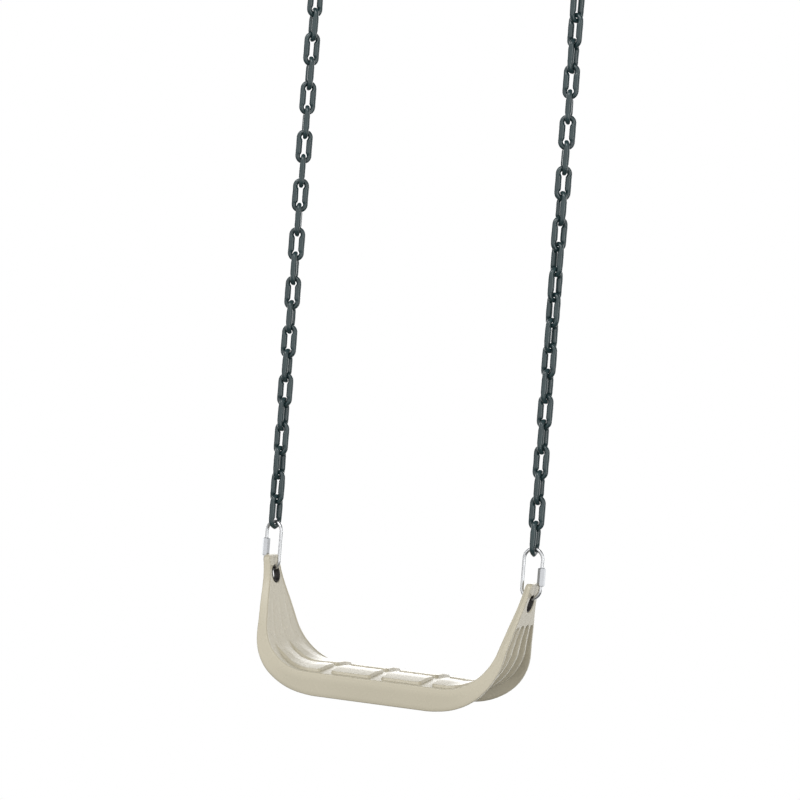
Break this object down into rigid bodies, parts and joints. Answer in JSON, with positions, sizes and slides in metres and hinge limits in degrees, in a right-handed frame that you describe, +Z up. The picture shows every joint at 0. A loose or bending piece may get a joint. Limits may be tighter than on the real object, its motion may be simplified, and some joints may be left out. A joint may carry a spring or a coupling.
{
  "type": "swing seat with chains",
  "caption": "Rigid moulded swing seat with upturned ends, hung by quick links on two coated chains from two pendulum hangers.",
  "frame": {"origin": "midway between the two beam brackets, on the plane of the beam's underside", "axes": "+X along the seat towards its right end, +Y to the rear, +Z up"},
  "size_m": [0.4622, 0.138, 1.0374],
  "materials": {
    "seat_plastic": "satin moulded plastic, warm beige",
    "bushing": "smooth dark rubber",
    "chain_coating": "glossy dark green-blue dip coating",
    "zinc_wire": "bright zinc plate",
    "zinc_nut": "bright zinc plate, machined",
    "pendulum_steel": "forged and galvanised",
    "bracket_steel": "galvanised plate"
  },
  "bodies": {
    "brackets": {"left_beam_bracket": "bracket_steel", "right_beam_bracket": "bracket_steel"},
    "left_pendulum": {"left_pendulum": "pendulum_steel"},
    "left_link_23": {"left_link_23": "chain_coating"},
    "left_link_22": {"left_link_22": "chain_coating"},
    "left_link_21": {"left_link_21": "chain_coating"},
    "left_link_20": {"left_link_20": "chain_coating"},
    "left_link_19": {"left_link_19": "chain_coating"},
    "left_link_18": {"left_link_18": "chain_coating"},
    "left_link_17": {"left_link_17": "chain_coating"},
    "left_link_16": {"left_link_16": "chain_coating"},
    "left_link_15": {"left_link_15": "chain_coating"},
    "left_link_14": {"left_link_14": "chain_coating"},
    "left_link_13": {"left_link_13": "chain_coating"},
    "left_link_12": {"left_link_12": "chain_coating"},
    "left_link_11": {"left_link_11": "chain_coating"},
    "left_link_10": {"left_link_10": "chain_coating"},
    "left_link_09": {"left_link_09": "chain_coating"},
    "left_link_08": {"left_link_08": "chain_coating"},
    "left_link_07": {"left_link_07": "chain_coating"},
    "left_link_06": {"left_link_06": "chain_coating"},
    "left_link_05": {"left_link_05": "chain_coating"},
    "left_link_04": {"left_link_04": "chain_coating"},
    "left_link_03": {"left_link_03": "chain_coating"},
    "left_link_02": {"left_link_02": "chain_coating"},
    "left_link_01": {"left_link_01": "chain_coating"},
    "left_quick_link": {"left_quick_link": "zinc_wire"},
    "left_nut": {"left_nut": "zinc_nut"},
    "right_pendulum": {"right_pendulum": "pendulum_steel"},
    "right_link_23": {"right_link_23": "chain_coating"},
    "right_link_22": {"right_link_22": "chain_coating"},
    "right_link_21": {"right_link_21": "chain_coating"},
    "right_link_20": {"right_link_20": "chain_coating"},
    "right_link_19": {"right_link_19": "chain_coating"},
    "right_link_18": {"right_link_18": "chain_coating"},
    "right_link_17": {"right_link_17": "chain_coating"},
    "right_link_16": {"right_link_16": "chain_coating"},
    "right_link_15": {"right_link_15": "chain_coating"},
    "right_link_14": {"right_link_14": "chain_coating"},
    "right_link_13": {"right_link_13": "chain_coating"},
    "right_link_12": {"right_link_12": "chain_coating"},
    "right_link_11": {"right_link_11": "chain_coating"},
    "right_link_10": {"right_link_10": "chain_coating"},
    "right_link_09": {"right_link_09": "chain_coating"},
    "right_link_08": {"right_link_08": "chain_coating"},
    "right_link_07": {"right_link_07": "chain_coating"},
    "right_link_06": {"right_link_06": "chain_coating"},
    "right_link_05": {"right_link_05": "chain_coating"},
    "right_link_04": {"right_link_04": "chain_coating"},
    "right_link_03": {"right_link_03": "chain_coating"},
    "right_link_02": {"right_link_02": "chain_coating"},
    "right_link_01": {"right_link_01": "chain_coating"},
    "right_quick_link": {"right_quick_link": "zinc_wire"},
    "right_nut": {"right_nut": "zinc_nut"},
    "seat": {"seat": "seat_plastic", "left_seat_bushing": "bushing", "right_seat_bushing": "bushing"}
  },
  "joints": [
    {"name": "left_swing", "type": "hinge", "parent": "brackets", "child": "left_pendulum", "pos_m": [-0.18607, 0, -0.024], "axis": [1, 0, 0], "range_deg": [-45, 45]},
    {"name": "left_bend_23", "type": "hinge", "parent": "left_pendulum", "child": "left_link_23", "pos_m": [-0.18607, 0, -0.0635], "axis": [1, 0, 0], "range_deg": [-6, 6]},
    {"name": "left_bend_22", "type": "hinge", "parent": "left_link_23", "child": "left_link_22", "pos_m": [-0.18607, 0, -0.09645], "axis": [1, 0, 0], "range_deg": [-6, 6]},
    {"name": "left_bend_21", "type": "hinge", "parent": "left_link_22", "child": "left_link_21", "pos_m": [-0.18607, 0, -0.12945], "axis": [1, 0, 0], "range_deg": [-6, 6]},
    {"name": "left_bend_20", "type": "hinge", "parent": "left_link_21", "child": "left_link_20", "pos_m": [-0.18607, 0, -0.16245], "axis": [1, 0, 0], "range_deg": [-6, 6]},
    {"name": "left_bend_19", "type": "hinge", "parent": "left_link_20", "child": "left_link_19", "pos_m": [-0.18607, 0, -0.19545], "axis": [1, 0, 0], "range_deg": [-6, 6]},
    {"name": "left_bend_18", "type": "hinge", "parent": "left_link_19", "child": "left_link_18", "pos_m": [-0.18607, 0, -0.22845], "axis": [1, 0, 0], "range_deg": [-6, 6]},
    {"name": "left_bend_17", "type": "hinge", "parent": "left_link_18", "child": "left_link_17", "pos_m": [-0.18607, 0, -0.26145], "axis": [1, 0, 0], "range_deg": [-6, 6]},
    {"name": "left_bend_16", "type": "hinge", "parent": "left_link_17", "child": "left_link_16", "pos_m": [-0.18607, 0, -0.29445], "axis": [1, 0, 0], "range_deg": [-6, 6]},
    {"name": "left_bend_15", "type": "hinge", "parent": "left_link_16", "child": "left_link_15", "pos_m": [-0.18607, 0, -0.32745], "axis": [1, 0, 0], "range_deg": [-6, 6]},
    {"name": "left_bend_14", "type": "hinge", "parent": "left_link_15", "child": "left_link_14", "pos_m": [-0.18607, 0, -0.36045], "axis": [1, 0, 0], "range_deg": [-6, 6]},
    {"name": "left_bend_13", "type": "hinge", "parent": "left_link_14", "child": "left_link_13", "pos_m": [-0.18607, 0, -0.39345], "axis": [1, 0, 0], "range_deg": [-6, 6]},
    {"name": "left_bend_12", "type": "hinge", "parent": "left_link_13", "child": "left_link_12", "pos_m": [-0.18607, 0, -0.42645], "axis": [1, 0, 0], "range_deg": [-6, 6]},
    {"name": "left_bend_11", "type": "hinge", "parent": "left_link_12", "child": "left_link_11", "pos_m": [-0.18607, 0, -0.45945], "axis": [1, 0, 0], "range_deg": [-6, 6]},
    {"name": "left_bend_10", "type": "hinge", "parent": "left_link_11", "child": "left_link_10", "pos_m": [-0.18607, 0, -0.49245], "axis": [1, 0, 0], "range_deg": [-6, 6]},
    {"name": "left_bend_09", "type": "hinge", "parent": "left_link_10", "child": "left_link_09", "pos_m": [-0.18607, 0, -0.52545], "axis": [1, 0, 0], "range_deg": [-6, 6]},
    {"name": "left_bend_08", "type": "hinge", "parent": "left_link_09", "child": "left_link_08", "pos_m": [-0.18607, 0, -0.55845], "axis": [1, 0, 0], "range_deg": [-6, 6]},
    {"name": "left_bend_07", "type": "hinge", "parent": "left_link_08", "child": "left_link_07", "pos_m": [-0.18607, 0, -0.59145], "axis": [1, 0, 0], "range_deg": [-6, 6]},
    {"name": "left_bend_06", "type": "hinge", "parent": "left_link_07", "child": "left_link_06", "pos_m": [-0.18607, 0, -0.62445], "axis": [1, 0, 0], "range_deg": [-6, 6]},
    {"name": "left_bend_05", "type": "hinge", "parent": "left_link_06", "child": "left_link_05", "pos_m": [-0.18607, 0, -0.65745], "axis": [1, 0, 0], "range_deg": [-6, 6]},
    {"name": "left_bend_04", "type": "hinge", "parent": "left_link_05", "child": "left_link_04", "pos_m": [-0.18607, 0, -0.69045], "axis": [1, 0, 0], "range_deg": [-6, 6]},
    {"name": "left_bend_03", "type": "hinge", "parent": "left_link_04", "child": "left_link_03", "pos_m": [-0.18607, 0, -0.72345], "axis": [1, 0, 0], "range_deg": [-6, 6]},
    {"name": "left_bend_02", "type": "hinge", "parent": "left_link_03", "child": "left_link_02", "pos_m": [-0.18607, 0, -0.75645], "axis": [1, 0, 0], "range_deg": [-6, 6]},
    {"name": "left_bend_01", "type": "hinge", "parent": "left_link_02", "child": "left_link_01", "pos_m": [-0.18607, 0, -0.78945], "axis": [1, 0, 0], "range_deg": [-6, 6]},
    {"name": "left_quick_link_bend", "type": "hinge", "parent": "left_link_01", "child": "left_quick_link", "pos_m": [-0.18607, 0, -0.82245], "axis": [1, 0, 0], "range_deg": [-6, 6]},
    {"name": "left_nut_slide", "type": "slide", "parent": "left_quick_link", "child": "left_nut", "axis": [0, 0, 1], "range_m": [0, 0.0085]},
    {"name": "right_swing", "type": "hinge", "parent": "brackets", "child": "right_pendulum", "pos_m": [0.18607, 0, -0.024], "axis": [1, 0, 0], "range_deg": [-45, 45]},
    {"name": "right_bend_23", "type": "hinge", "parent": "right_pendulum", "child": "right_link_23", "pos_m": [0.18607, 0, -0.0635], "axis": [1, 0, 0], "range_deg": [-6, 6]},
    {"name": "right_bend_22", "type": "hinge", "parent": "right_link_23", "child": "right_link_22", "pos_m": [0.18607, 0, -0.09645], "axis": [1, 0, 0], "range_deg": [-6, 6]},
    {"name": "right_bend_21", "type": "hinge", "parent": "right_link_22", "child": "right_link_21", "pos_m": [0.18607, 0, -0.12945], "axis": [1, 0, 0], "range_deg": [-6, 6]},
    {"name": "right_bend_20", "type": "hinge", "parent": "right_link_21", "child": "right_link_20", "pos_m": [0.18607, 0, -0.16245], "axis": [1, 0, 0], "range_deg": [-6, 6]},
    {"name": "right_bend_19", "type": "hinge", "parent": "right_link_20", "child": "right_link_19", "pos_m": [0.18607, 0, -0.19545], "axis": [1, 0, 0], "range_deg": [-6, 6]},
    {"name": "right_bend_18", "type": "hinge", "parent": "right_link_19", "child": "right_link_18", "pos_m": [0.18607, 0, -0.22845], "axis": [1, 0, 0], "range_deg": [-6, 6]},
    {"name": "right_bend_17", "type": "hinge", "parent": "right_link_18", "child": "right_link_17", "pos_m": [0.18607, 0, -0.26145], "axis": [1, 0, 0], "range_deg": [-6, 6]},
    {"name": "right_bend_16", "type": "hinge", "parent": "right_link_17", "child": "right_link_16", "pos_m": [0.18607, 0, -0.29445], "axis": [1, 0, 0], "range_deg": [-6, 6]},
    {"name": "right_bend_15", "type": "hinge", "parent": "right_link_16", "child": "right_link_15", "pos_m": [0.18607, 0, -0.32745], "axis": [1, 0, 0], "range_deg": [-6, 6]},
    {"name": "right_bend_14", "type": "hinge", "parent": "right_link_15", "child": "right_link_14", "pos_m": [0.18607, 0, -0.36045], "axis": [1, 0, 0], "range_deg": [-6, 6]},
    {"name": "right_bend_13", "type": "hinge", "parent": "right_link_14", "child": "right_link_13", "pos_m": [0.18607, 0, -0.39345], "axis": [1, 0, 0], "range_deg": [-6, 6]},
    {"name": "right_bend_12", "type": "hinge", "parent": "right_link_13", "child": "right_link_12", "pos_m": [0.18607, 0, -0.42645], "axis": [1, 0, 0], "range_deg": [-6, 6]},
    {"name": "right_bend_11", "type": "hinge", "parent": "right_link_12", "child": "right_link_11", "pos_m": [0.18607, 0, -0.45945], "axis": [1, 0, 0], "range_deg": [-6, 6]},
    {"name": "right_bend_10", "type": "hinge", "parent": "right_link_11", "child": "right_link_10", "pos_m": [0.18607, 0, -0.49245], "axis": [1, 0, 0], "range_deg": [-6, 6]},
    {"name": "right_bend_09", "type": "hinge", "parent": "right_link_10", "child": "right_link_09", "pos_m": [0.18607, 0, -0.52545], "axis": [1, 0, 0], "range_deg": [-6, 6]},
    {"name": "right_bend_08", "type": "hinge", "parent": "right_link_09", "child": "right_link_08", "pos_m": [0.18607, 0, -0.55845], "axis": [1, 0, 0], "range_deg": [-6, 6]},
    {"name": "right_bend_07", "type": "hinge", "parent": "right_link_08", "child": "right_link_07", "pos_m": [0.18607, 0, -0.59145], "axis": [1, 0, 0], "range_deg": [-6, 6]},
    {"name": "right_bend_06", "type": "hinge", "parent": "right_link_07", "child": "right_link_06", "pos_m": [0.18607, 0, -0.62445], "axis": [1, 0, 0], "range_deg": [-6, 6]},
    {"name": "right_bend_05", "type": "hinge", "parent": "right_link_06", "child": "right_link_05", "pos_m": [0.18607, 0, -0.65745], "axis": [1, 0, 0], "range_deg": [-6, 6]},
    {"name": "right_bend_04", "type": "hinge", "parent": "right_link_05", "child": "right_link_04", "pos_m": [0.18607, 0, -0.69045], "axis": [1, 0, 0], "range_deg": [-6, 6]},
    {"name": "right_bend_03", "type": "hinge", "parent": "right_link_04", "child": "right_link_03", "pos_m": [0.18607, 0, -0.72345], "axis": [1, 0, 0], "range_deg": [-6, 6]},
    {"name": "right_bend_02", "type": "hinge", "parent": "right_link_03", "child": "right_link_02", "pos_m": [0.18607, 0, -0.75645], "axis": [1, 0, 0], "range_deg": [-6, 6]},
    {"name": "right_bend_01", "type": "hinge", "parent": "right_link_02", "child": "right_link_01", "pos_m": [0.18607, 0, -0.78945], "axis": [1, 0, 0], "range_deg": [-6, 6]},
    {"name": "right_quick_link_bend", "type": "hinge", "parent": "right_link_01", "child": "right_quick_link", "pos_m": [0.18607, 0, -0.82245], "axis": [1, 0, 0], "range_deg": [-6, 6]},
    {"name": "right_nut_slide", "type": "slide", "parent": "right_quick_link", "child": "right_nut", "axis": [0, 0, 1], "range_m": [0, 0.0085]},
    {"name": "seat_pitch", "type": "hinge", "parent": "left_quick_link", "child": "seat", "pos_m": [-0.18607, 0, -0.88935], "axis": [1, 0, 0], "range_deg": [-35, 35]}
  ],
  "couplings": [
    {"joint": "right_swing", "follows": "left_swing", "ratio": 1},
    {"joint": "right_bend_23", "follows": "left_bend_23", "ratio": 1},
    {"joint": "right_bend_22", "follows": "left_bend_22", "ratio": 1},
    {"joint": "right_bend_21", "follows": "left_bend_21", "ratio": 1},
    {"joint": "right_bend_20", "follows": "left_bend_20", "ratio": 1},
    {"joint": "right_bend_19", "follows": "left_bend_19", "ratio": 1},
    {"joint": "right_bend_18", "follows": "left_bend_18", "ratio": 1},
    {"joint": "right_bend_17", "follows": "left_bend_17", "ratio": 1},
    {"joint": "right_bend_16", "follows": "left_bend_16", "ratio": 1},
    {"joint": "right_bend_15", "follows": "left_bend_15", "ratio": 1},
    {"joint": "right_bend_14", "follows": "left_bend_14", "ratio": 1},
    {"joint": "right_bend_13", "follows": "left_bend_13", "ratio": 1},
    {"joint": "right_bend_12", "follows": "left_bend_12", "ratio": 1},
    {"joint": "right_bend_11", "follows": "left_bend_11", "ratio": 1},
    {"joint": "right_bend_10", "follows": "left_bend_10", "ratio": 1},
    {"joint": "right_bend_09", "follows": "left_bend_09", "ratio": 1},
    {"joint": "right_bend_08", "follows": "left_bend_08", "ratio": 1},
    {"joint": "right_bend_07", "follows": "left_bend_07", "ratio": 1},
    {"joint": "right_bend_06", "follows": "left_bend_06", "ratio": 1},
    {"joint": "right_bend_05", "follows": "left_bend_05", "ratio": 1},
    {"joint": "right_bend_04", "follows": "left_bend_04", "ratio": 1},
    {"joint": "right_bend_03", "follows": "left_bend_03", "ratio": 1},
    {"joint": "right_bend_02", "follows": "left_bend_02", "ratio": 1},
    {"joint": "right_bend_01", "follows": "left_bend_01", "ratio": 1},
    {"joint": "right_quick_link_bend", "follows": "left_quick_link_bend", "ratio": 1}
  ]
}
